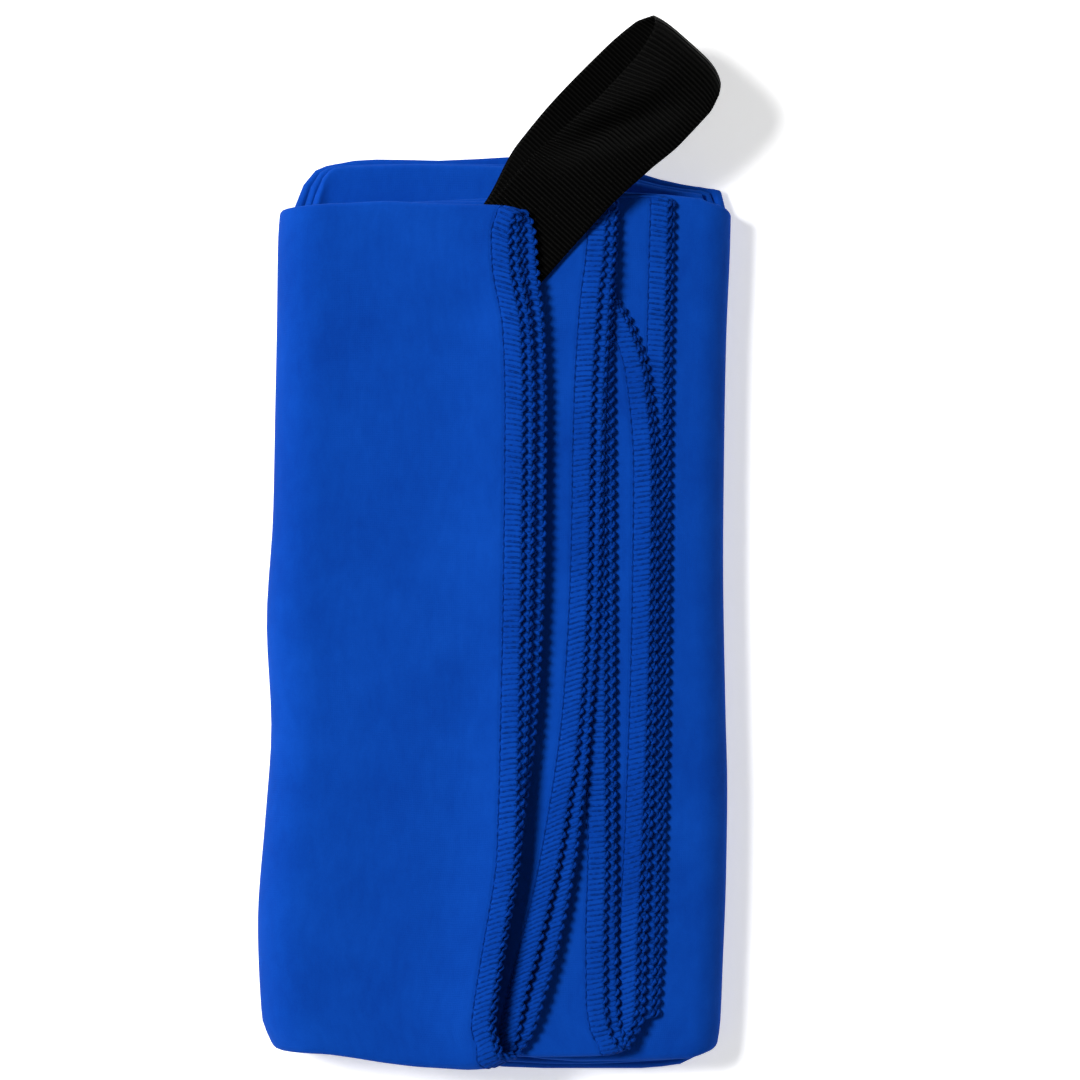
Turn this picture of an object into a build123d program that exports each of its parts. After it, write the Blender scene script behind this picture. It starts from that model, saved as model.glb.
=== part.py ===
from build123d import *
import math
import os

# A quick-dry travel towel folded into a flat packet, with a ribbon loop to hang it by.
#
# Millimetres. +X runs across the packet, towards the side that the sewn hems face.
# +Y runs along it, towards the hanging loop, and +Z points up out of the front flap.
# The origin is the middle of the flat underside of the middle panels.
#
# The towel is folded in half across its width, then along its length into six layers, and then
# in three across. The middle panels lie underneath, the inner panels are folded over them from
# the right, and the front panels are folded over both from the left. Layer 1 is the outermost
# layer everywhere. Two layers that share a fold at the top make a pleat.

# The cloth
ply_thickness = 0.6
plies_per_layer = 2
layer_count = 6
panel_gap = 0.3  # loose air between two panels that lie on each other

# The packet
packet_width = 112.0
middle_length = 219.0
inner_length = 209.0
front_length = 208.0
inner_edge_inset = 4.0  # from the left folds' straight ends to the inner panels' own folded edge

# The overlocked hems on the front panels. Each ply ends a little further right than the one on it.
hem_width = 4.8
thread_wall = 0.15  # thread over and under the cloth's edge
thread_lip = 0.5  # thread looped past the cloth's edge
last_hem_inset = 14.4  # from the packet's right edge to the lowest hem
ply_step = 2.0
layer_step = 3.0
pleat_step = 15.6

# The ribbon, doubled, coming out between the front pleat and the pleat under it
ribbon_width = 22.0
ribbon_thickness = 0.5
ribbon_play = 0.2  # above and below the doubled ribbon
ribbon_angle = 48.0  # from +X towards +Y
ribbon_offset = 2.0  # of the ribbon's middle from the front pleat's corner, along the fold line
ribbon_root_length = 20.0
ribbon_reach = 51.0  # from the line where the ribbon bends up to the loop's tip
loop_radius = 5.0  # of the bend at the tip, to the middle of the ribbon
corner_clearance = 1.0  # between the front pleat's corner and that line
flat_run_margin = 3.0  # that the two legs stay together past the cloth under them
layers_over_ribbon = 2

# The stitching that holds the ribbon
stitch_rows = 2
stitch_row_length = 18.0
stitch_row_width = 0.8
stitch_row_pitch = 5.0
stitch_end_inset = 2.5

layer_thickness = ply_thickness * plies_per_layer
panel_thickness = layer_thickness * layer_count
left_edge = -packet_width / 2
right_edge = packet_width / 2
bottom_edge = -middle_length / 2
front_top_edge = bottom_edge + front_length
inner_base = panel_thickness + panel_gap
front_base = inner_base + panel_thickness + panel_gap
ribbon_bed = 2 * ribbon_thickness + 2 * ribbon_play
layers = range(1, layer_count + 1)


def middle_z(layer):
    """Height of the underside of a middle layer."""
    return (layer - 1) * layer_thickness


def inner_z(layer):
    """Height of the underside of an inner layer. Folding turned the stack over."""
    return inner_base + (layer_count - layer) * layer_thickness


def front_z(layer):
    """Height of the underside of a front layer. The ribbon lies in a gap under the front pleat."""
    lift = ribbon_bed if layer <= layers_over_ribbon else 0.0
    return front_base + (layer_count - layer) * layer_thickness + lift


packet_thickness = front_z(1) + layer_thickness
left_fold_x = left_edge + packet_thickness / 2
right_fold_x = right_edge - (inner_base + panel_thickness) / 2


def hem_x(layer):
    """Where the hem of a layer's lower ply ends, on its right."""
    pleat = (layer - 1) // 2
    last_pleat = (layer_count - 1) // 2
    first_in_pleat = layer % 2
    return right_edge - last_hem_inset - (last_pleat - pleat) * pleat_step - first_in_pleat * layer_step


def block(x0, x1, y0, y1, z0, z1):
    """A box between two corners."""
    return Pos((x0 + x1) / 2, (y0 + y1) / 2, (z0 + z1) / 2) * Box(x1 - x0, y1 - y0, z1 - z0)


def edge_fold(centre_x, side, bottom, top, length):
    """The half ring of cloth that joins the layer at bottom to the same layer at top.

    bottom and top are the heights of their undersides. side is -1 for a fold that bulges left."""
    outer_radius = (top + layer_thickness - bottom) / 2
    inner_radius = outer_radius - layer_thickness
    ring = Cylinder(outer_radius, length) - Cylinder(inner_radius, length)
    half = Pos(side * outer_radius / 2, 0, 0) * Box(outer_radius, 2 * outer_radius, length)
    place = Pos(centre_x, bottom_edge + length / 2, bottom + outer_radius)
    return place * Rot(90, 0, 0) * (ring & half)


def front_plies(layer):
    """Each ply of a front layer as its lower height and the place where its hem ends."""
    for ply in range(plies_per_layer):
        yield front_z(layer) + ply * ply_thickness, hem_x(layer) - ply * ply_step


def hem_tongue(z, hem_end):
    """The cloth's edge inside the overlocking."""
    return block(
        hem_end - hem_width,
        hem_end - thread_lip,
        bottom_edge,
        front_top_edge,
        z + thread_wall,
        z + ply_thickness - thread_wall,
    )


def front_layer(layer):
    """Two plies of cloth, each with its edge thinned inside its overlocking."""
    cloth = None
    for z, hem_end in front_plies(layer):
        ply = block(
            left_fold_x,
            hem_end - hem_width,
            bottom_edge,
            front_top_edge,
            z,
            z + ply_thickness,
        )
        ply += hem_tongue(z, hem_end)
        cloth = ply if cloth is None else cloth + ply
    return cloth


def overlock_edge(layer):
    """The thread round the edges of a layer's two plies, as one channel for each."""
    channels = []
    for z, hem_end in front_plies(layer):
        thread = block(
            hem_end - hem_width,
            hem_end,
            bottom_edge,
            front_top_edge,
            z,
            z + ply_thickness,
        )
        thread -= hem_tongue(z, hem_end)
        channels.append(thread.solid())
    return Compound(children=channels)


def ribbon_frame():
    """Where the ribbon bends up: its own +X runs along the ribbon, and +Y across it."""
    angle = math.radians(ribbon_angle)
    along = Vector(math.cos(angle), math.sin(angle), 0)
    across = Vector(math.sin(angle), -math.cos(angle), 0)
    corner = Vector(hem_x(layers_over_ribbon), front_top_edge, 0)
    height = front_z(layers_over_ribbon) - ribbon_play - ribbon_thickness
    origin = corner + along * corner_clearance + across * ribbon_offset + Vector(0, 0, height)
    return Location((origin.X, origin.Y, origin.Z), (0, 0, ribbon_angle))


def flat_run():
    """How far the legs stay together, so that the lower one clears the cloth's top edge."""
    angle = math.radians(ribbon_angle)
    across_edge = (ribbon_width / 2 + ribbon_offset) / math.tan(angle)
    return across_edge - corner_clearance + flat_run_margin


def ribbon_loop():
    """Both legs of the ribbon, together at first and then opening into a rounded end."""
    half = ribbon_thickness / 2
    start = flat_run()
    spread = ribbon_reach - start - loop_radius - half
    slope = math.asin(loop_radius / math.hypot(spread, half)) - math.atan2(half, spread)
    corner = half * math.tan(slope / 2)
    centre = start + spread

    def bend(radius, first_point, *before):
        x = centre - radius * math.sin(slope)
        z = radius * math.cos(slope)
        upper = Polyline(*before, first_point, (x, z))
        tip = ThreePointArc((x, z), (centre + radius, 0), (x, -z))
        back = [(px, -pz) for px, pz in (*before, first_point)]
        lower = Polyline((x, -z), *reversed(back))
        return upper, tip, lower

    outer = bend(loop_radius + half, (start - corner, 2 * half), (0, 2 * half))
    outer_face = make_face([*outer, Line((0, -2 * half), (0, 2 * half))])
    inner_face = make_face(bend(loop_radius - half, (start + corner, 0)))
    section = Plane.XZ * (outer_face - inner_face)
    return ribbon_frame() * extrude(section, ribbon_width / 2, both=True)


def stitch_bars():
    """Rows of stitching across the ribbon's sewn end, up to the cloth that they hold it to."""
    for row in range(stitch_rows):
        x = -ribbon_root_length + stitch_end_inset + row * stitch_row_pitch
        height = 2 * ribbon_thickness + ribbon_play
        bar = Box(stitch_row_width, stitch_row_length, height)
        yield ribbon_frame() * Pos(x, 0, ribbon_play / 2) * bar


def ribbon_root():
    """The doubled ribbon under the front pleat, up to the line where the loop bends up."""
    strip = Box(ribbon_root_length, ribbon_width, 2 * ribbon_thickness)
    root = ribbon_frame() * Pos(-ribbon_root_length / 2, 0, 0) * strip
    for bar in stitch_bars():
        root -= bar
    return root


def ribbon_stitching():
    """The stitching as separate rows."""
    return Compound(children=[bar.solid() for bar in stitch_bars()])


def all_nodes():
    """Every piece by its name."""
    nodes = {}
    for layer in layers:
        nodes[f"middle_layer_{layer}"] = block(
            left_fold_x,
            right_fold_x,
            bottom_edge,
            bottom_edge + middle_length,
            middle_z(layer),
            middle_z(layer) + layer_thickness,
        )
        nodes[f"right_fold_{layer}"] = edge_fold(
            right_fold_x, 1, middle_z(layer), inner_z(layer), inner_length
        )
        nodes[f"inner_layer_{layer}"] = block(
            left_fold_x + inner_edge_inset,
            right_fold_x,
            bottom_edge,
            bottom_edge + inner_length,
            inner_z(layer),
            inner_z(layer) + layer_thickness,
        )
        nodes[f"left_fold_{layer}"] = edge_fold(
            left_fold_x, -1, middle_z(layer), front_z(layer), front_length
        )
        nodes[f"front_layer_{layer}"] = front_layer(layer)
        nodes[f"overlock_edge_{layer}"] = overlock_edge(layer)
    nodes["ribbon_root"] = ribbon_root()
    nodes["ribbon_stitching"] = ribbon_stitching()
    nodes["ribbon_loop"] = ribbon_loop()
    return nodes


os.makedirs("parts", exist_ok=True)
for name, shape in all_nodes().items():
    export_step(shape, f"parts/{name}.step")
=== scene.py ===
"""A folded quick-dry travel towel with a ribbon loop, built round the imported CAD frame.

The towel is one mesh: a flat cloth whose every point is carried through the folds. Its columns run
across the cloth, from the sewn hems of the front flap round the left folds, under the packet, round
the right folds and in to the fold down the cloth's middle, then back the same way on the other ply.
Its rows run along the cloth, up and down through the six layers and the turns between them.

Sizes are in millimetres in the row frame, and become metres where a mesh is made.
"""

import math

import bpy
import numpy as np
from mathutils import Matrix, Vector


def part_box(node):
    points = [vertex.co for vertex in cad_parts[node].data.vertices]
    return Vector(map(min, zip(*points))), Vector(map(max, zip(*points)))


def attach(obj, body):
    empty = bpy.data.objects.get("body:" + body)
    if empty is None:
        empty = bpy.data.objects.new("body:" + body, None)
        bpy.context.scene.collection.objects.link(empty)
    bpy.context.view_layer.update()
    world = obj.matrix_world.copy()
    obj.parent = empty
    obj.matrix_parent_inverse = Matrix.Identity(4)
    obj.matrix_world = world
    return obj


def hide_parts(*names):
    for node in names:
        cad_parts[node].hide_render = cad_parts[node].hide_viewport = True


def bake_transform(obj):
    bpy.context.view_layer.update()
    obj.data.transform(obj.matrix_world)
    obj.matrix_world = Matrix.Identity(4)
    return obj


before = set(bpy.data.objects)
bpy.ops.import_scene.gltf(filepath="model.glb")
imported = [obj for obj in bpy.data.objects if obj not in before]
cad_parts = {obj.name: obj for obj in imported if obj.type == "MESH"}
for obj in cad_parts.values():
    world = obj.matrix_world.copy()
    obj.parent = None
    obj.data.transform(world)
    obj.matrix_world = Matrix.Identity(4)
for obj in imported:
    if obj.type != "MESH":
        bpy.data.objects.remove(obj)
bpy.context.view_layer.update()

METRES = 0.001
UP = 1.0
DOWN = -1.0


# ---------------------------------------------------------------- the frame's own places


def node_box(node):
    """The lowest and highest corner of a CAD node, in millimetres."""
    low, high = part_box(node)
    return np.array(low) / METRES, np.array(high) / METRES


layer_count = 6
middle_low, middle_high = node_box("middle_layer_1")
inner_low, inner_high = node_box("inner_layer_1")
front_top = node_box("front_layer_1")[1][2]
gap_low = node_box("front_layer_3")[1][2]
gap_high = node_box("front_layer_2")[0][2]

ply = (middle_high[2] - middle_low[2]) / 2
left_fold_x = middle_low[0]
right_fold_x = middle_high[0]
inner_end_x = inner_low[0]
inner_top = inner_high[2]
ribbon_gap = gap_high - gap_low
bottom_edge = middle_low[1]
top_edge = middle_high[1]

# ---------------------------------------------------------------- the cloth

cloth_thickness = 0.55
band_width = 4.4  # of the overlocked hem, from its needle line to the cloth's edge
hem_reach = 9.0  # in from the edge, where the cloth's columns keep an even distance from it
hem_zone = 0.2  # the same, as a station
hem_columns = [0, 0.7, 1.6, 2.6, 3.5, 4.0, band_width, 4.8, 5.5, 7.0, hem_reach]
needle_pinch = 0.15  # of the cloth's thickness, left under the needle line

# The six layers in the order that the cloth's length runs through them, starting at a short end.
# Depth counts plies from the outside of the packet: each layer holds one depth of either ply.
path_layers = ["B", "A", "C", "D", "E", "F"]
depths = {
    "outer": [3, 0, 5, 6, 9, 10],
    "inner": [2, 1, 4, 7, 8, 11],
}

# How far each row of folds stops short of the middle panels' own ends, by station. Stations run
# 0 to 1 over the front flap from its hems, to 2 round the left folds, to 3 over the middle panels,
# to 4 round the right folds and to 5 over the inner panels.
top_insets = {
    0: [(0, 14.2), (0.05, 13.4), (0.12, 12.7), (0.45, 12.2), (0.7, 11.7), (0.93, 12.2), (1, 12.3),
        (1.5, 13.2), (1.72, 12.6), (1.786, 6.0), (1.857, 2.8), (1.929, 1.7), (2, 1.2), (2.06, 0.3),
        (2.12, 0.1), (2.3, 0.4), (2.5, -0.6), (2.75, 1.6), (2.92, 5.6), (3, 6.8), (3.25, 7.7),
        (3.33, 12.4), (3.42, 12.9), (3.5, 13.3), (3.75, 12.0), (3.95, 11.2), (4.05, 9.8),
        (4.2, 9.1), (4.35, 10.5), (4.6, 12.8), (5, 13.0)],
    2: [(0, 11.2), (0.1, 10.6), (0.5, 11.4), (1, 12.0), (1.5, 13.6), (1.72, 12.9), (1.786, 6.6),
        (1.857, 3.4), (1.929, 2.3), (2, 1.9), (2.1, 1.5), (2.27, 1.3), (2.5, 1.6), (2.75, 3.6),
        (2.92, 7.0), (3, 7.8), (3.2, 8.6), (3.3, 12.8), (3.5, 13.4), (3.8, 12.2), (4, 11.2),
        (4.2, 10.0), (4.35, 11.2), (4.6, 13.0), (5, 13.2)],
    4: [(0, 9.6), (0.08, 9.3), (0.2, 9.3), (0.4, 10.2), (1, 12.4), (1.5, 14.0), (1.72, 13.2),
        (1.786, 8.4), (1.857, 4.8), (1.929, 3.2), (2, 2.5), (2.1, 1.9), (2.27, 1.7), (2.5, 2.3),
        (2.75, 4.6), (2.92, 7.8), (3, 8.8), (3.3, 12.0), (3.5, 12.6), (3.8, 11.8), (4, 10.4),
        (4.3, 10.0), (4.6, 13.1), (5, 13.4)],
}
bottom_insets = {
    1: [(0, 5.6), (0.04, 4.8), (0.1, 3.2), (0.23, 2.4), (0.44, 2.7), (0.65, 3.7), (0.85, 5.1),
        (1, 5.9), (1.5, 6.2), (1.8, 6.2), (2, 6.0), (2.2, 4.0), (2.35, 1.9), (2.6, 0.4), (2.9, 0.4),
        (3, 1.4), (3.5, 5.6), (4, 3.8), (4.3, 3.2), (4.6, 5.8), (5, 6.6)],
    3: [(0, 6.0), (0.05, 5.2), (0.1, 4.6), (0.3, 4.2), (0.7, 4.4), (1, 6.4), (1.5, 7.0), (2, 6.8),
        (2.2, 5.0), (2.35, 2.8), (2.7, 1.1), (3, 2.4), (3.5, 6.6), (4, 4.6), (4.3, 3.9),
        (4.6, 6.2), (5, 7.0)],
}
start_inset = [(0, 8.5), (1, 7.0), (1.5, 8.0), (2.4, 4.6), (3, 5.4), (3.5, 8.6), (5, 5.6)]
end_inset = [(0, 12.4), (0.1, 11.0), (0.3, 6.0), (1, 6.0), (1.5, 8.0), (2.3, 3.2), (2.7, 1.6),
             (3, 4.0), (3.5, 8.0), (4.2, 4.8), (5, 4.4)]

# Where each ply's hem runs across the packet, by height along it
hem_lines = {
    ("A", "outer"): [(-103, -0.4), (-99, -1.7), (-94, -1.2), (-80, 1.0), (-57, 4.4), (-21, 5.4),
                     (13, 6.0), (50, 6.3), (68, 5.8), (84, 3.2), (91, 3.0), (97, 4.6)],
    ("A", "inner"): [(-103, 0.6), (-99, -0.8), (-94, -0.4), (-80, 1.6), (-57, 5.2), (-21, 7.2),
                     (13, 8.2), (50, 8.6), (68, 8.0), (84, 5.2), (91, 4.8), (96, 5.6)],
    ("B", "inner"): [(-101, -2.5), (-80, 0.2), (-57, 4.6), (-21, 7.4), (13, 8.5), (50, 8.9),
                     (68, 8.3), (84, 6.4), (91, 6.2), (96, 6.0)],
    ("B", "outer"): [(-101, -2.5), (-80, 0.4), (-57, 4.8), (-21, 9.4), (13, 11.0), (50, 11.4),
                     (68, 10.9), (84, 9.3), (91, 8.8), (97, 7.2)],
    ("C", "inner"): [(-103.5, 4.0), (-101, 4.8), (-92, 6.6), (-81, 9.6), (-57, 15.1), (-21, 20.3),
                     (10, 22.0), (49, 22.8), (74, 24.2), (87, 25.8), (97, 26.4)],
    ("C", "outer"): [(-104, 6.0), (-101, 8.0), (-92, 11.0), (-81, 14.1), (-57, 18.8), (-21, 22.6),
                     (10, 24.4), (49, 25.4), (74, 26.9), (87, 27.9), (97, 28.3)],
    ("D", "outer"): [(-104, 29.0), (-100, 26.8), (-93, 25.8), (-78, 25.7), (-57, 26.2), (-21, 26.0),
                     (27, 25.8), (60, 26.6), (87, 27.9), (97, 28.4)],
    ("D", "inner"): [(-102, 30.4), (-97, 29.0), (-78, 28.4), (-57, 28.2), (-21, 27.9), (27, 27.7),
                     (60, 27.5), (87, 28.3), (97, 28.8)],
    ("E", "inner"): [(-102, 31.4), (-96, 33.2), (-78, 33.8), (-45, 35.4), (0, 36.8), (35, 37.2),
                     (57, 35.4), (69, 31.8), (80, 25.6), (90, 22.0), (97, 22.0)],
    ("E", "outer"): [(-104, 31.6), (-97, 34.8), (-78, 35.5), (-45, 37.0), (0, 38.2), (35, 38.4),
                     (57, 36.4), (69, 32.6), (80, 26.2), (90, 22.4), (97, 22.0)],
    ("F", "outer"): [(-98, 37.2), (-78, 38.0), (-45, 38.9), (0, 39.7), (50, 40.2), (85, 40.9),
                     (97, 41.3)],
    ("F", "inner"): [(-98, 38.4), (-78, 39.4), (-45, 40.3), (0, 41.0), (50, 41.4), (85, 42.0),
                     (97, 42.2)],
}

# How far each layer's free hem stands up, by height along the packet, and how far in that reaches
hem_lifts = {
    "A": ([(-104, 2.8), (-92, 3.6), (-60, 3.2), (-20, 2.2), (40, 1.8), (80, 1.5), (97, 0.9)], 12.0),
    "B": ([(-104, 2.6), (-92, 3.4), (-60, 3.1), (-20, 2.1), (40, 1.7), (80, 1.4), (97, 0.9)], 11.0),
    "C": ([(-104, 1.3), (-90, 2.3), (-57, 2.2), (-21, 1.3), (49, 0.8), (80, 0.5), (92, 0.05)], 7.0),
    "D": ([(-104, 1.0), (-78, 1.2), (-21, 0.9), (49, 0.7), (80, 0.4), (92, 0.05)], 7.0),
    "E": ([(-104, 0.8), (40, 0.6), (70, 0.25), (97, 0.1)], 6.0),
    "F": ([(-104, 0.4), (97, 0.4)], 6.0),
}

# How far the folds down either side stray from the straight, by height along the packet
left_stray = [(-110, 3.4), (-105, 2.0), (-97, -0.9), (-76, -1.7), (-49, 0.2), (-28, 1.4), (-2, 0.2),
              (24, 1.7), (47, 2.2), (70, 2.7), (90, 3.0), (100, 3.8), (110, 5.0)]
right_stray = [(-110, -4.4), (-105, -2.8), (-99, -1.9), (-85, -1.3), (-64, -0.5), (-42, -0.2),
               (-25, -0.6), (13, -1.2), (37, -1.0), (65, -0.5), (90, 0.5), (100, 0.7), (110, 0.5)]

# Inside a pleat each ply's edge curls up clear of the ply under it
plies_per_pleat = 4
curl_step = 0.2
curl_reach = 3.5
full_curl_rise = 0.5  # a hem that stands up less than this curls less too

# Soft hollows and swellings in the front flap: middle, reach each way, height
flap_relief = [
    ((-6.0, 73.0), (7.0, 5.0), -0.9),
    ((-5.0, -16.0), (6.0, 8.0), -0.7),
    ((-40.0, -62.0), (9.0, 26.0), 0.7),
    ((-30.0, 20.0), (16.0, 40.0), -0.35),
    ((-18.0, -60.0), (8.0, 30.0), 0.35),
    ((-2.0, 30.0), (5.0, 34.0), 0.35),
]


# Points across the cloth over each stretch, along each layer and round each turn
flap_columns = 17
left_columns = 15
middle_columns = 15
right_columns = 13
inner_columns = 11
layer_rows = 45
turn_rows = 6
fold_points = 3  # round the fold down the cloth's middle, between its two plies
measured_row = 20  # the row and column that are measured to lay out the cloth's UV map
measured_column = 40


def through(points, at):
    """A smooth curve through (position, value) points, read at an array of positions."""
    x = np.array([p[0] for p in points], float)
    y = np.array([p[1] for p in points], float)
    run = np.diff(x)
    slope = np.diff(y) / run
    tangent = np.zeros_like(y)
    same_way = slope[:-1] * slope[1:] > 0
    mean = 2 * slope[:-1] * slope[1:] / np.where(same_way, slope[:-1] + slope[1:], 1)
    tangent[1:-1] = np.where(same_way, mean, 0)
    tangent[0], tangent[-1] = slope[0], slope[-1]
    at = np.clip(at, x[0], x[-1])
    k = np.clip(np.searchsorted(x, at, side="right") - 1, 0, len(run) - 1)
    t = (at - x[k]) / run[k]
    rise = y[k + 1] - y[k]
    bend_in = tangent[k] * run[k]
    bend_out = tangent[k + 1] * run[k]
    return (y[k] + t * bend_in + t * t * (3 * rise - 2 * bend_in - bend_out)
            + t * t * t * (bend_in + bend_out - 2 * rise))


def smooth_step(low, high, value):
    """0 below low, 1 above high, and an even slope between."""
    t = np.clip((value - low) / (high - low), 0, 1)
    return t * t * (3 - 2 * t)


def middle_height(depth):
    """Height of a ply in the middle panels, which lie at the bottom."""
    return ply * (depth + 0.5)


def inner_height(depth):
    """Height of a ply in the panels folded over from the right."""
    return inner_top - ply * (depth + 0.5)


def front_height(depth):
    """Height of a ply in the front flap, which has the ribbon's root between two of its layers."""
    return front_top - ply * (depth + 0.5) - ribbon_gap * smooth_step(3.0, 4.0, depth)


def relief(x, y):
    """Height that the flap's soft hollows and swellings add at a place on it."""
    height = np.zeros(np.broadcast(x, y).shape)
    for (middle_x, middle_y), (reach_x, reach_y), rise in flap_relief:
        away = ((x - middle_x) / reach_x) ** 2 + ((y - middle_y) / reach_y) ** 2
        height += rise * np.exp(-away)
    return height


def end_height(turn, station):
    """Y of the row of folds after a layer, at stations across the cloth."""
    if turn in top_insets:
        return top_edge - through(top_insets[turn], station)
    if turn in bottom_insets:
        return bottom_edge + through(bottom_insets[turn], station)
    inset = start_inset if turn < 0 else end_inset
    return bottom_edge + through(inset, station)


def place(station, ply_name, layer, run):
    """Places on one ply: station across the cloth, and run, from 0 to 1 along a layer and to 2
    round the turn after it."""
    depth_now = depths[ply_name][layer]
    along = np.clip(run, 0, 1)
    start = end_height(layer - 1, station)
    finish = end_height(layer, station)
    y = start + (finish - start) * along
    depth = np.full(np.broadcast(station, run).shape, float(depth_now))
    edge = hem_place(layer, ply_name, y)
    rise, reach, curl = hem_rise(layer, ply_name, y)
    if layer + 1 < layer_count:
        angle = np.pi * np.clip(run - 1, 0, 1)
        share = (1 - np.cos(angle)) / 2
        step = depths[ply_name][layer + 1] - depth_now
        next_rise, next_reach, next_curl = hem_rise(layer + 1, ply_name, y)
        near_hem = np.exp(-(station / hem_zone) ** 2)
        bulge = abs(step) * ply / 2 + np.abs(next_rise - rise) / 2 * near_hem
        depth = depth + step * share
        edge = edge + (hem_place(layer + 1, ply_name, y) - edge) * share
        rise = rise + (next_rise - rise) * share
        reach = reach + (next_reach - reach) * share
        curl = curl + (next_curl - curl) * share
        y = y + (1 if layer % 2 == 0 else -1) * bulge * np.sin(angle)
    return carry(station, depth, y, edge, rise, reach, curl)


def hem_place(layer, ply_name, y):
    """Where a ply's hem runs across the packet."""
    return through(hem_lines[(path_layers[layer], ply_name)], y)


def hem_rise(layer, ply_name, y):
    """How far a ply's hem stands up, how far in that reaches, and how much its edge curls up."""
    points, reach = hem_lifts[path_layers[layer]]
    rise = through(points, y)
    above = plies_per_pleat - 1 - depths[ply_name][layer] % plies_per_pleat
    return rise, reach, curl_step * above * np.minimum(rise / full_curl_rise, 1)


def carry(station, depth, y, edge, rise, reach, curl):
    """Carries a place through the folds across the packet."""
    left_x = left_fold_x + through(left_stray, y)
    right_x = right_fold_x + through(right_stray, y)
    low = middle_height(depth)
    inner = inner_height(depth)
    inward = np.minimum(station / hem_zone, 1) * hem_reach
    over_flap = np.clip((station - hem_zone) / (1 - hem_zone), 0, 1)
    front_x = edge - inward + (left_x - edge + hem_reach) * over_flap
    lifted = rise * np.exp(-((edge - front_x) / reach) ** 2)
    lifted = lifted + curl * np.exp(-((edge - front_x) / curl_reach) ** 2)
    front = front_height(depth) + relief(front_x, y) + lifted
    left_angle = np.pi * (np.clip(station, 1, 2) - 1)
    right_angle = np.pi * (np.clip(station, 3, 4) - 3)
    x = np.where(station < 1, front_x, left_x - (front - low) / 2 * np.sin(left_angle))
    z = np.where(station < 1, front, (front + low) / 2 + (front - low) / 2 * np.cos(left_angle))
    x = np.where(station > 2, left_x + (right_x - left_x) * (station - 2), x)
    z = np.where(station > 2, low, z)
    turned = right_x + (inner - low) / 2 * np.sin(right_angle)
    x = np.where(station > 3, turned, x)
    z = np.where(station > 3, (inner + low) / 2 - (inner - low) / 2 * np.cos(right_angle), z)
    x = np.where(station > 4, right_x + (inner_end_x - right_x) * (station - 4), x)
    z = np.where(station > 4, inner, z)
    return np.stack(np.broadcast_arrays(x, y, z), axis=-1)


def cloth_stations():
    """Stations across one ply, closer together at the hem and round the folds."""
    hem = hem_zone / hem_reach * np.array(hem_columns)
    flap = np.linspace(hem_zone, 1, flap_columns)
    left = np.linspace(1, 2, left_columns)
    middle = 2 + (1 - np.cos(np.linspace(0, np.pi, middle_columns))) / 2
    right = np.linspace(3, 4, right_columns)
    inner = np.linspace(4, 5, inner_columns)
    return np.concatenate([hem, flap[1:], left[1:], middle[1:], right[1:], inner[1:]])


def cloth_runs(layer):
    """Runs along one layer and round the turn after it."""
    runs = (1 - np.cos(np.linspace(0, np.pi, layer_rows))) / 2
    runs = 0.5 * runs + 0.5 * np.linspace(0, 1, layer_rows)
    if layer + 1 < layer_count:
        runs = np.concatenate([runs, 1 + np.linspace(0, 1, turn_rows + 2)[1:-1]])
    return runs


def grid_mesh(name, points, across, along):
    """A mesh of a grid of points in millimetres, with a UV map in metres of cloth."""
    rows, columns = points.shape[:2]
    index = np.arange(rows * columns).reshape(rows, columns)
    quads = np.stack([index[:-1, :-1], index[:-1, 1:], index[1:, 1:], index[1:, :-1]], axis=-1)
    mesh = bpy.data.meshes.new(name)
    mesh.from_pydata((points.reshape(-1, 3) * METRES).tolist(), [], quads.reshape(-1, 4).tolist())
    where = np.stack(np.broadcast_arrays(across, along), axis=-1).reshape(-1, 2) * METRES
    layer = mesh.uv_layers.new(name="cloth")
    corners = np.empty(len(mesh.loops), int)
    mesh.loops.foreach_get("vertex_index", corners)
    layer.data.foreach_set("uv", where[corners].astype(np.float32).ravel())
    mesh.polygons.foreach_set("use_smooth", np.ones(len(mesh.polygons), bool))
    piece = bpy.data.objects.new(name, mesh)
    bpy.context.scene.collection.objects.link(piece)
    return piece


def blend_by_angle(piece, shares):
    """Puts each point of a mesh on a line by a share given for it, bakes the mesh's transform and puts
    the points back.
    """
    mesh = piece.data
    final = np.empty(len(mesh.vertices) * 3, np.float32)
    mesh.vertices.foreach_get("co", final)
    # Each point is put on a line where an easing in and out gives its share
    flat = np.zeros((len(mesh.vertices), 3), np.float32)
    flat[:, 0] = 0.5 - np.sin(np.arcsin(1 - 2 * np.clip(shares, 0, 1)) / 3)
    mesh.vertices.foreach_set("co", flat.ravel())
    mesh.update()
    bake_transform(piece)
    mesh.vertices.foreach_set("co", final)
    mesh.update()


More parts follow.
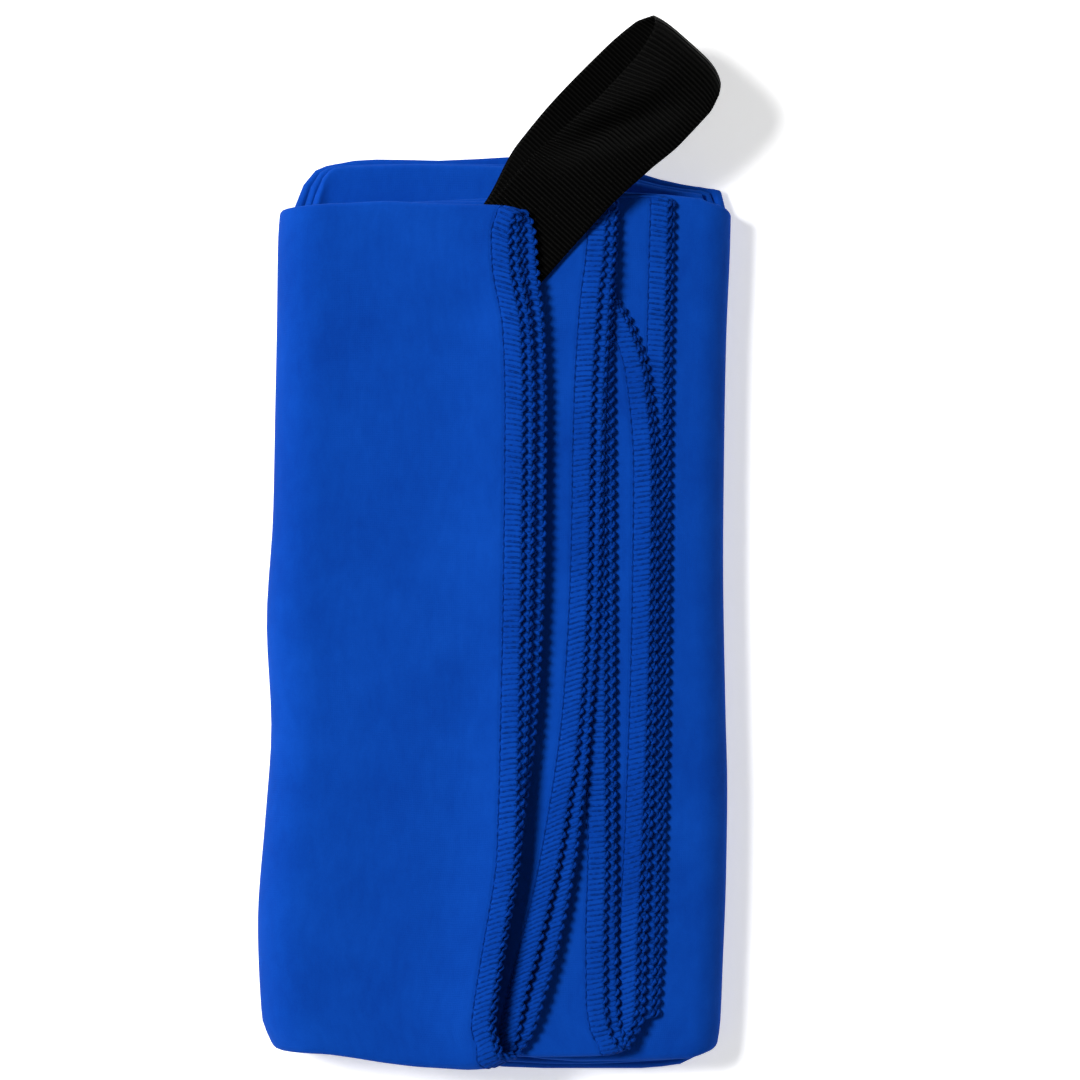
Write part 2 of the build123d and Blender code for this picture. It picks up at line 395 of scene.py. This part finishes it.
def make_cloth():
    """The whole towel as one folded sheet of two plies, joined by the fold down its middle."""
    stations = cloth_stations()
    turn = np.linspace(0, math.pi, fold_points + 2)[1:-1]
    rows = []
    for layer in range(layer_count):
        for run in cloth_runs(layer):
            outer = place(stations, "outer", layer, np.full_like(stations, run))
            inner = place(stations, "inner", layer, np.full_like(stations, run))
            middle = (outer[-1] + inner[-1]) / 2
            half = (outer[-1] - inner[-1]) / 2
            round_it = np.array([middle + half * math.cos(a) for a in turn])
            round_it[:, 0] -= abs(half[2]) * np.sin(turn)
            rows.append(np.concatenate([outer, round_it, inner[::-1]]))
    points = np.array(rows)
    row = points[measured_row]
    column = points[:, measured_column]
    across = np.cumsum(np.linalg.norm(np.diff(row, axis=0, prepend=row[:1]), axis=1))
    along = np.cumsum(np.linalg.norm(np.diff(column, axis=0, prepend=column[:1]), axis=1))
    cloth = grid_mesh("towel_cloth", points, across[None, :], along[:, None])
    opened = 1 - (np.clip(stations, 1, 2) - 1)
    shares = np.concatenate([opened, np.zeros(len(turn)), opened[::-1]])
    blend_by_angle(cloth, np.tile(shares, len(rows)))
    # The cloth is pinched thin along its column under the needle line
    fullness = np.where(np.abs(stations / hem_zone * hem_reach - band_width) < 0.01, 0.0, 1.0)
    group = cloth.vertex_groups.new(name="fullness")
    pinched = np.concatenate([fullness, np.ones(len(turn)), fullness[::-1]])
    pinched = np.tile(pinched, len(rows))
    group.add(np.flatnonzero(pinched == 1).tolist(), 1.0, "REPLACE")
    body = cloth.modifiers.new("thickness", "SOLIDIFY")
    body.thickness = cloth_thickness * METRES
    body.offset = 0
    body.vertex_group = "fullness"
    body.thickness_vertex_group = needle_pinch
    panels = ["middle_layer", "right_fold", "inner_layer", "left_fold", "front_layer"]
    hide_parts(*[f"{p}_{k}" for p in panels for k in range(1, layer_count + 1)])
    cloth.data.materials.append(cloth_material())


# ---------------------------------------------------------------- the overlocked hems

hem_samples = 240  # along each layer and turn, to measure the hem's length
probe_run = 0.004  # small steps along the hem and in from it, which give the cloth's slope there
probe_in = 0.6
stitch_pitch = 2.5
cloth_face = cloth_thickness / 2  # from the middle of the cloth to either face
needle_radius = 0.27
needle_sink = 0.1  # of the needle thread's centre under the cloth's face
needle_dip = 0.34  # more than that at either end of a stitch
crossing_radius = 0.36
crossing_sink = 0.22
crossing_crown = 0.06
crossings = ((0.10, 0.16), (0.60, 0.14))  # where each starts in a stitch, and how far it leans
crossing_ends = (band_width - 0.3, 0.15)  # in from the cloth's edge
chain_radius = 0.4
chain_span = (0.1, 0.8)  # where a chain loop starts in a stitch, and how far it runs
chain_root = 0.35  # in from the edge, where a loop leaves either face
chain_reach = 0.75  # from there out round the edge
chain_height = cloth_face + 0.16
hidden_turn = 4  # from layer E to F, where the hem is tucked out of sight, so no thread is drawn


class Hem:
    """The sewn edge of one ply over the front flap, measured along it."""

    def __init__(self, ply_name):
        self.ply_name = ply_name
        samples = []
        for layer in range(layer_count):
            last = 1 if layer + 1 == layer_count else 2
            samples += [(layer, r) for r in np.linspace(0, last, hem_samples, endpoint=last == 1)]
        self.layers = np.array([s[0] for s in samples])
        self.runs = np.array([s[1] for s in samples])
        edge = self.points(self.layers, self.runs, np.zeros(len(samples)))
        self.length = np.concatenate([[0], np.cumsum(np.linalg.norm(np.diff(edge, axis=0), axis=1))])

    def points(self, layers, runs, distance):
        """Places on the ply at a distance in from its edge."""
        out = np.zeros((len(runs), 3))
        for layer in range(layer_count):
            here = layers == layer
            if not here.any():
                continue
            run = runs[here]
            station = distance[here] * hem_zone / hem_reach
            out[here] = place(station, self.ply_name, layer, run)
        return out

    def at(self, length, distance, height):
        """Places by length along the hem, distance in from the edge and height off the cloth."""
        length = np.clip(length, 0, self.length[-1] - 1e-6)
        k = np.clip(np.searchsorted(self.length, length, side="right") - 1, 0, len(self.runs) - 2)
        part = (length - self.length[k]) / np.maximum(self.length[k + 1] - self.length[k], 1e-9)
        same = self.layers[k] == self.layers[k + 1]
        next_run = np.where(same, self.runs[k + 1], 2.0)
        run = self.runs[k] + (next_run - self.runs[k]) * part
        layer = self.layers[k]
        here = self.points(layer, run, distance)
        ahead = self.points(layer, np.minimum(run + probe_run, 2.0), distance)
        behind = self.points(layer, np.maximum(run - probe_run, 0.0), distance)
        inward = self.points(layer, run, distance + probe_in)
        normal = np.cross(ahead - behind, inward - here)
        normal /= np.maximum(np.linalg.norm(normal, axis=1, keepdims=True), 1e-9)
        return here + normal * height[:, None]

    def turns(self):
        """Lengths at which each turn between two layers begins and ends."""
        out = []
        for layer in range(layer_count - 1):
            inside = (self.layers == layer) & (self.runs >= 1)
            out.append((self.length[inside][0], self.length[inside][-1]))
        return out


def tube(points, radius, sides):
    """Rings of points round a line, with a radius for each point, and the faces between them."""
    ahead = np.gradient(points, axis=0)
    ahead /= np.maximum(np.linalg.norm(ahead, axis=1, keepdims=True), 1e-9)
    guide = np.array([0.31, 0.17, 0.93])  # a direction that no thread runs along
    side = np.cross(ahead, guide)
    side /= np.linalg.norm(side, axis=1, keepdims=True)
    up = np.cross(side, ahead)
    angle = np.linspace(0, 2 * math.pi, sides, endpoint=False)
    ring = side[:, None] * np.cos(angle)[None, :, None] + up[:, None] * np.sin(angle)[None, :, None]
    rings = points[:, None] + ring * np.asarray(radius)[:, None, None]
    index = np.arange(len(points) * sides).reshape(len(points), sides)
    turned = np.roll(index, -1, axis=1)
    faces = np.stack([index[:-1], turned[:-1], turned[1:], index[1:]], axis=-1).reshape(-1, 4)
    caps = [index[0][::-1].tolist(), index[-1].tolist()]
    return rings.reshape(-1, 3), faces.tolist() + caps


def thread_piece(name, strands, sides, material, node):
    """Joins threads into one piece on the front flap, in place of a CAD node. Each strand is its
    line's points and its radius at each."""
    verts, faces = [], []
    for points, radius in strands:
        ring, quads = tube(points, radius, sides)
        first = len(verts)
        verts += (ring * METRES).tolist()
        faces += [[first + v for v in face] for face in quads]
    mesh = bpy.data.meshes.new(name)
    mesh.from_pydata(verts, [], faces)
    mesh.polygons.foreach_set("use_smooth", np.ones(len(mesh.polygons), bool))
    piece = bpy.data.objects.new(name, mesh)
    bpy.context.scene.collection.objects.link(piece)
    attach(piece, "front_flap")
    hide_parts(node)
    mesh.materials.append(material)


def stitch_stray(number, offset):
    """How far a crossing thread strays from the rule, so that no two stitches are the same."""
    return 0.05 * math.sin(2.4 * number + 5.0 * offset) + 0.03 * math.sin(7.1 * number)


def hem_strands(hem, first, last):
    """The threads over a stretch of hem: needle line, crossing threads and looper chain."""
    strands = []
    count = max(1, int(round((last - first) / stitch_pitch)))
    pitch = (last - first) / count
    share = np.linspace(0, 1, 6)
    fine = np.linspace(0, 1, 9)
    crossing_start, crossing_end = crossing_ends
    chain_start, chain_run = chain_span
    for k in range(count):
        start = first + k * pitch
        for face in (UP, DOWN):
            # The needle thread: a short stitch that dips into the cloth at either end
            dip = face * (cloth_face - needle_sink - needle_dip * (2 * share - 1) ** 4)
            line = hem.at(start + pitch * share, np.full_like(share, band_width), dip)
            strands.append((line, needle_radius * (1 - 0.6 * (2 * share - 1) ** 2)))
            # The looper threads: two that cross the band from the needle line to the edge
            for offset, lean in crossings:
                stray = stitch_stray(k, offset)
                reach = crossing_start * (1 - share) + crossing_end * share
                crown = (crossing_crown + stray) * np.sin(math.pi * share)
                high = face * (cloth_face - crossing_sink + crown)
                line = hem.at(start + pitch * (offset + (lean + stray) * share), reach, high)
                strands.append((line, np.full_like(share, crossing_radius)))
        # The chain on the edge: one slanted lump that wraps over it from face to face
        turn = math.pi * (1.1 * fine - 0.05)
        reach = chain_root - chain_reach * np.sin(turn)
        high = chain_height * np.cos(turn)
        line = hem.at(start + pitch * (chain_start + chain_run * fine), reach, high)
        strands.append((line, chain_radius * (0.5 + 0.7 * np.sin(math.pi * fine))))
    return strands


def make_hems():
    """The overlock thread on every layer's hem, one piece for each layer of the front flap."""
    material = thread_material("overlock_thread", (0.0010, 0.030, 0.222), 0.0018)
    strands = [[] for _ in range(layer_count)]
    for ply_name in ("outer", "inner"):
        hem = Hem(ply_name)
        turns = hem.turns()
        first = 0.0
        for layer in range(layer_count):
            last = hem.length[-1] if layer + 1 == layer_count else sum(turns[layer]) / 2
            after = last
            if layer == hidden_turn:
                last, after = turns[layer]
            strands[layer] += hem_strands(hem, first, last)
            first = after
    for layer, letter in enumerate(path_layers):
        number = sorted(path_layers).index(letter) + 1
        thread_piece(f"overlock_thread_{number}", strands[layer], 5, material,
                     f"overlock_edge_{number}")


# ---------------------------------------------------------------- the ribbon

ribbon_width = 22.0
ribbon_angle = math.radians(48.0)
ribbon_start = np.array([12.555, 97.905, 20.5])  # the middle of the line that the loop swings on
ribbon_along = np.array([math.cos(ribbon_angle), math.sin(ribbon_angle), 0.0])
ribbon_across = np.array([math.sin(ribbon_angle), -math.cos(ribbon_angle), 0.0])
ribbon_thickness = 0.4
ribbon_step = 0.22  # along the ribbon, between two rows of its mesh
ribbon_columns = 29
smoothing_rounds = 60
rib_pitch = 1.0
rib_height = 0.12

# The ribbon seen from its side: reach along it and height, from the end of the lower leg out to
# the tip, round it and back along the upper leg
ribbon_side = [(-20, -0.3), (-8, -0.3), (1, 0.0), (7, 0.5), (14, 0.4), (24, -0.8), (34, -2.2),
               (42, -3.0), (48, -2.6), (51.6, 0.2), (51.2, 3.4), (47, 5.0), (40, 4.9), (30, 4.0),
               (20, 2.6), (12, 1.7), (6, 1.2), (0, 0.6), (-8, 0.3), (-20, 0.3)]
# How far each leg slews sideways, by reach along it, to the right as the packet is read
lower_slew = [(-20, 0), (-9, -1.2), (6, -4.6), (20, -5.2), (37, -4.6), (47, -3.4), (52, -1.6)]
upper_slew = [(-20, 0), (-4, -0.2), (8, -0.1), (22, 1.2), (32, 2.6), (42, 2.8), (48, 1.7), (52, 0.2)]
crease_place = -2.0  # across the upper leg, where it is creased along its length
crease_slope = 0.22
crease_shear = 0.42
tip_rounding = (0.9, 2.1)  # that the ribbon's left and right corners are pulled in at the tip
dent = ((27.0, -1.6), (12.0, 4.4), 2.6)  # in the upper leg: middle, reach each way, depth
dent_slant = 0.35  # how far the dent moves to the right for each step out
leg_change = (0.46, 0.54)  # share of the ribbon's length where the lower leg becomes the upper
free_from = (2, 18)  # reach where the legs leave the hem's hold and start to curve across
crease_fades = (36, 50)
corner_from = (38, 51)
upper_crown = 0.8  # how far each leg's middle bulges
lower_crown = -0.5
swing_zone = 1.5  # either side of the line that the loop swings on, over which the ribbon's share for blend_by_angle runs from 0 to 1

# The stitches that hold the ribbon's ends
root_length = 20.0
stitch_rows = (2.5, 7.5)  # from the sewn end
stitches_per_row = 9
ribbon_stitch_pitch = 2.0
ribbon_stitch_length = 1.6
ribbon_stitch_radius = 0.18
ribbon_stitch_height = 0.62
ribbon_stitch_dip = 0.3


def make_ribbon():
    """The doubled grosgrain ribbon: its root in the hem, its two legs and the bend at its tip."""
    route = np.array(ribbon_side, float)
    knots = np.concatenate([[0], np.cumsum(np.linalg.norm(np.diff(route, axis=0), axis=1))])
    length = knots[-1]
    at = np.linspace(0, length, int(length / ribbon_step))
    reach = through(list(zip(knots, route[:, 0])), at)
    height = through(list(zip(knots, route[:, 1])), at)
    for _ in range(smoothing_rounds):
        reach[1:-1] = (reach[:-2] + 2 * reach[1:-1] + reach[2:]) / 4
        height[1:-1] = (height[:-2] + 2 * height[1:-1] + height[2:]) / 4
    side = np.linspace(-ribbon_width / 2, ribbon_width / 2, ribbon_columns)
    upper = smooth_step(*leg_change, at / length)
    out = smooth_step(*free_from, reach)
    slew = through(lower_slew, reach) * (1 - upper) + through(upper_slew, reach) * upper
    arch = 1 - (2 * side / ribbon_width) ** 2
    creased = np.minimum(side - crease_place, 0)
    bend = (out * upper * (1 - smooth_step(*crease_fades, reach)))[:, None]
    bulge = upper_crown * upper + lower_crown * (1 - upper)
    crown = out[:, None] * bulge[:, None] * arch[None, :]
    rib = rib_height * np.abs(np.sin(math.pi * at / rib_pitch))[:, None]
    away = np.sign(upper - 0.5)[:, None]
    rounding = np.where(side < 0, *tip_rounding) * (2 * side / ribbon_width) ** 4
    corner = smooth_step(*corner_from, reach)[:, None] * rounding[None, :]
    pushed = reach[:, None] + crease_shear * bend * creased[None, :] - corner
    (dent_reach, dent_side), (dent_length, dent_width), dent_depth = dent
    away_along = ((reach - dent_reach) / dent_length)[:, None] ** 2
    slant = dent_slant * (reach - dent_reach)
    away_across = ((side[None, :] - dent_side - slant[:, None]) / dent_width) ** 2
    sunk = dent_depth * upper[:, None] * np.exp(-away_along - away_across)
    points = (ribbon_start + pushed[:, :, None] * ribbon_along
              + (side[None, :] + slew[:, None])[:, :, None] * ribbon_across)
    points[:, :, 2] += height[:, None] + crown + crease_slope * bend * creased[None, :]
    points[:, :, 2] += rib * away - sunk
    ribbon = grid_mesh("hanging_ribbon", points, side[None, :] + ribbon_width, at[:, None])
    swung = smooth_step(-swing_zone, swing_zone, reach)
    blend_by_angle(ribbon, np.repeat(swung, len(side)))
    body = ribbon.modifiers.new("thickness", "SOLIDIFY")
    body.thickness = ribbon_thickness * METRES
    body.offset = 0
    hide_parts("ribbon_root", "ribbon_loop")
    ribbon.data.materials.append(ribbon_material())


def make_ribbon_stitches():
    """Two rows of short stitches that hold the ribbon's ends."""
    strands = []
    share = np.linspace(0, 1, 7)
    for row in stitch_rows:
        for k in range(stitches_per_row):
            middle = ribbon_stitch_pitch * (k - (stitches_per_row - 1) / 2)
            across = middle + ribbon_stitch_length * (share[:, None] - 0.5)
            line = ribbon_start + (row - root_length) * ribbon_along + across * ribbon_across
            line[:, 2] += ribbon_stitch_height - ribbon_stitch_dip * (2 * share - 1) ** 4
            strands.append((line, np.full_like(share, ribbon_stitch_radius)))
    material = thread_material("ribbon_thread", (0.003, 0.003, 0.0032), 0.0015)
    thread_piece("ribbon_stitches", strands, 6, material, "ribbon_stitching")


# ---------------------------------------------------------------- materials


class Nodes:
    """A short way to write a node tree: make a node, set its inputs, join it to others."""

    def __init__(self, name):
        self.material = bpy.data.materials.new(name)
        self.material.use_nodes = True
        self.tree = self.material.node_tree
        self.shader = self.tree.nodes["Principled BSDF"]

    def add(self, kind, settings=(), **inputs):
        node = self.tree.nodes.new(kind)
        for key, value in dict(settings).items():
            setattr(node, key, value)
        for key, value in inputs.items():
            socket = node.inputs[key.replace("_", " ")]
            if isinstance(value, bpy.types.NodeSocket):
                self.tree.links.new(value, socket)
            else:
                socket.default_value = value
        return node

    def math(self, operation, *values):
        node = self.add("ShaderNodeMath", {"operation": operation})
        for socket, value in zip(node.inputs, values):
            if isinstance(value, bpy.types.NodeSocket):
                self.tree.links.new(value, socket)
            else:
                socket.default_value = value
        return node.outputs[0]

    def ramp(self, value, stops):
        node = self.add("ShaderNodeValToRGB", Fac=value)
        ramp = node.color_ramp
        ramp.elements[0].position, ramp.elements[0].color = stops[0][0], (*stops[0][1], 1)
        ramp.elements[1].position, ramp.elements[1].color = stops[-1][0], (*stops[-1][1], 1)
        for position, colour in stops[1:-1]:
            ramp.elements.new(position).color = (*colour, 1)
        return node.outputs["Color"]

    def link(self, output, name):
        self.tree.links.new(output, self.shader.inputs[name])

    def set(self, **values):
        for key, value in values.items():
            self.shader.inputs[key.replace("_", " ")].default_value = value


def cloth_material():
    """Royal blue microfibre suede: a fine even weave under a short brushed nap."""
    n = Nodes("towel_cloth")
    uv = n.add("ShaderNodeUVMap", {"uv_map": "cloth"}).outputs["UV"]
    stretched = n.add("ShaderNodeMapping", Vector=uv, Scale=(3.0, 1.0, 1.0)).outputs["Vector"]
    nap = n.add("ShaderNodeTexNoise", Vector=uv, Scale=26.0, Detail=5.0, Roughness=0.6).outputs["Fac"]
    streak = n.add("ShaderNodeTexNoise", Vector=stretched, Scale=150.0, Detail=4.0,
                   Roughness=0.6).outputs["Fac"]
    grain = n.add("ShaderNodeTexNoise", Vector=uv, Scale=2200.0, Detail=2.0).outputs["Fac"]
    mixed = n.math("ADD", n.math("MULTIPLY", nap, 0.6), n.math("MULTIPLY", streak, 0.25))
    mixed = n.math("ADD", mixed, n.math("MULTIPLY", grain, 0.15))
    colour = n.ramp(mixed, [(0.36, (0.0010, 0.036, 0.275)), (0.5, (0.0014, 0.045, 0.318)),
                            (0.64, (0.0022, 0.054, 0.360))])
    n.link(colour, "Base Color")
    warp = n.add("ShaderNodeTexWave", {"bands_direction": "X"}, Vector=uv, Scale=640.0,
                 Distortion=0.6, Detail=1.0).outputs["Fac"]
    weft = n.add("ShaderNodeTexWave", {"bands_direction": "Y"}, Vector=uv, Scale=560.0,
                 Distortion=0.8, Detail=1.0).outputs["Fac"]
    weave = n.math("ADD", n.math("MULTIPLY", warp, 0.5), n.math("MULTIPLY", weft, 0.5))
    height = n.math("ADD", n.math("MULTIPLY", weave, 0.35), n.math("MULTIPLY", streak, 0.9))
    height = n.math("ADD", height, n.math("MULTIPLY", grain, 0.3))
    bump = n.add("ShaderNodeBump", Height=height, Strength=0.25, Distance=0.0003)
    soft = n.add("ShaderNodeBump", Height=nap, Strength=0.3, Distance=0.0012,
                 Normal=bump.outputs["Normal"])
    n.link(soft.outputs["Normal"], "Normal")
    n.set(Roughness=0.95, Sheen_Weight=0.06, Sheen_Roughness=0.5, Specular_IOR_Level=0.05)
    n.shader.inputs["Sheen Tint"].default_value = (0.02, 0.26, 0.95, 1)
    return n.material


def thread_material(name, colour, grain_size):
    """Textured sewing thread, with a fine fuzz of a given size in metres."""
    n = Nodes(name)
    where = n.add("ShaderNodeTexCoord").outputs["Object"]
    fuzz = n.add("ShaderNodeTexNoise", Vector=where, Scale=2.0 / grain_size,
                 Detail=3.0).outputs["Fac"]
    dark = tuple(0.7 * c for c in colour)
    light = tuple(1.35 * c for c in colour)
    n.link(n.ramp(fuzz, [(0.35, dark), (0.65, light)]), "Base Color")
    bump = n.add("ShaderNodeBump", Height=fuzz, Strength=0.4, Distance=0.0002)
    n.link(bump.outputs["Normal"], "Normal")
    n.set(Roughness=0.8, Sheen_Weight=0.0, Specular_IOR_Level=0.03)
    return n.material


def ribbon_material():
    """Black grosgrain: close cross ribs, with a dull shine painted on their backs and shade painted in
    the grooves between them.
    """
    n = Nodes("ribbon_grosgrain")
    uv = n.add("ShaderNodeUVMap", {"uv_map": "cloth"}).outputs["UV"]
    fibre = n.add("ShaderNodeMapping", Vector=uv, Scale=(9.0, 1.0, 1.0)).outputs["Vector"]
    fuzz = n.add("ShaderNodeTexNoise", Vector=fibre, Scale=420.0, Detail=4.0).outputs["Fac"]
    along = n.add("ShaderNodeSeparateXYZ", Vector=uv).outputs["Y"]
    # Painted light and shade: the colour runs from near black in each groove to lighter on each rib's
    # crest, varied at random by the fibre fuzz; the same pattern also drives the bump
    turn = n.math("MULTIPLY", along, 2 * math.pi / (rib_pitch * METRES))
    crest = n.math("MULTIPLY_ADD", n.math("COSINE", turn), -0.5, 0.5)
    shade = n.math("MULTIPLY", crest, n.math("MULTIPLY_ADD", fuzz, 0.8, 0.6))
    colour = n.ramp(shade, [(0.25, (0.0001, 0.0001, 0.0001)), (0.9, (0.0026, 0.0026, 0.0024))])
    n.link(colour, "Base Color")
    bump = n.add("ShaderNodeBump", Height=shade, Strength=0.6, Distance=0.0003)
    n.link(bump.outputs["Normal"], "Normal")
    n.set(Roughness=0.45, Sheen_Weight=0.0, Specular_IOR_Level=0.025)
    return n.material


# ---------------------------------------------------------------- camera, light and floor

camera_place = (0.01034, 0.01779, 1.215)  # in metres, as are the places below
sweep_start = 2.6  # out from the packet, where the floor starts to curve up
sweep_radius = 0.7
sweep_height = 1.4
sweep_points = 12
floor_drop = 0.0002  # of the floor under the cloth
floor_columns = 97


def look_at(thing, target):
    """Turns a light to face a point."""
    ahead = Vector(target) - thing.location
    thing.rotation_euler = ahead.to_track_quat("-Z", "Y").to_euler()


def make_camera():
    """A camera straight over the packet, with the loop towards the top of the picture."""
    data = bpy.data.cameras.new("camera")
    data.lens = 166.0
    data.sensor_width = 36.0
    data.clip_start = 0.05
    data.clip_end = 20.0
    camera = bpy.data.objects.new("camera", data)
    bpy.context.scene.collection.objects.link(camera)
    camera.location = camera_place
    camera.rotation_euler = (0, 0, 0)
    bpy.context.scene.camera = camera


def soft_light(name, location, size, power):
    """A square white light that faces the packet."""
    data = bpy.data.lights.new(name, "AREA")
    data.shape = "SQUARE"
    data.size = size
    data.energy = power
    light = bpy.data.objects.new(name, data)
    bpy.context.scene.collection.objects.link(light)
    light.location = location
    look_at(light, (0, 0, 0))


def make_stage():
    """A plain pale floor that sweeps up all round its edge, and soft light from the upper left."""
    profile = [(0.002, -floor_drop), (1.0, -floor_drop), (sweep_start, -floor_drop)]
    profile += [(sweep_start + sweep_radius * math.sin(a), sweep_radius * (1 - math.cos(a)))
                for a in np.linspace(0.1, math.pi / 2, sweep_points)]
    profile.append((sweep_start + sweep_radius, sweep_height))
    around = np.linspace(0, 2 * math.pi, floor_columns)
    rings = np.array([[(r * math.cos(a), r * math.sin(a), z) for a in around] for r, z in profile])
    floor = grid_mesh("studio_floor", rings / METRES, around[None, :], np.arange(len(profile))[:, None])
    n = Nodes("studio_floor")
    n.set(Base_Color=(0.92, 0.92, 0.92, 1), Roughness=0.9)
    n.set(Emission_Color=(1, 1, 1, 1), Emission_Strength=0.5)
    floor.data.materials.append(n.material)
    soft_light("key_light", (-1.0, 0.42, 1.4), 0.5, 40.0)
    soft_light("fill_light", (0.1, -0.1, 1.9), 1.0, 1.5)
    world = bpy.data.worlds.new("studio")
    world.use_nodes = True
    background = world.node_tree.nodes["Background"]
    background.inputs["Color"].default_value = (1, 1, 1, 1)
    background.inputs["Strength"].default_value = 0.06
    bpy.context.scene.world = world
    bpy.context.scene.view_settings.view_transform = "Standard"


make_camera()
make_stage()
make_cloth()
make_hems()
make_ribbon()
make_ribbon_stitches()
